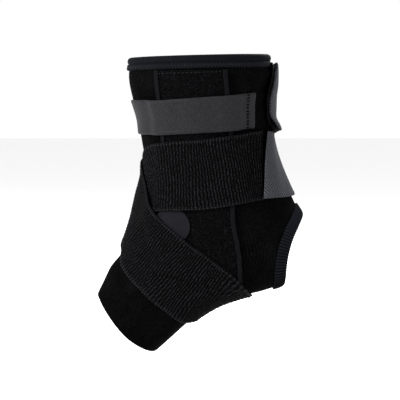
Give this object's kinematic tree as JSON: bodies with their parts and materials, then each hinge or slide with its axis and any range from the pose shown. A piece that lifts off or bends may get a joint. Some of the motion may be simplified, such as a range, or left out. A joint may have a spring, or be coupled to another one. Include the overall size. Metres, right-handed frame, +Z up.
{
  "type": "ankle brace",
  "caption": "Pull-on knitted ankle brace with open heel and toes, side stay pockets, a shin strap and elastic straps crossed over the instep in a figure of eight.",
  "frame": {"origin": "middle of the ankle inside the sleeve, on the axis of the leg, 119 mm below the sleeve's top edge", "axes": "+Z up the leg, -X towards the toes, -Y towards the inner side of the foot"},
  "size_m": [0.1478, 0.0945, 0.2106],
  "materials": {
    "knit": "matt black knitted cloth",
    "binding": "black ribbed tape",
    "loop_cloth": "black brushed loop cloth",
    "edge_tape": "dark grey woven tape",
    "disc_cloth": "smooth dark grey cloth",
    "strap_webbing": "smooth dark grey webbing",
    "ribbed_elastic": "black ribbed elastic with a slight sheen",
    "grey_webbing": "grey woven webbing",
    "hook_tape": "black hook tape"
  },
  "bodies": {
    "root": {"sleeve": "knit", "top_binding": "binding", "heel_binding": "binding", "medial_pocket": "loop_cloth", "medial_pocket_front_tape": "edge_tape", "medial_pocket_rear_tape": "edge_tape", "lateral_pocket": "loop_cloth", "lateral_pocket_front_tape": "edge_tape", "lateral_pocket_rear_tape": "edge_tape", "medial_disc": "disc_cloth", "cuff_strap": "strap_webbing", "strap_a_elastic": "ribbed_elastic", "strap_a_hook": "hook_tape", "strap_a_tab": "grey_webbing", "strap_b_elastic": "ribbed_elastic", "strap_b_hook": "hook_tape", "strap_b_tab": "grey_webbing"}
  },
  "joints": []
}
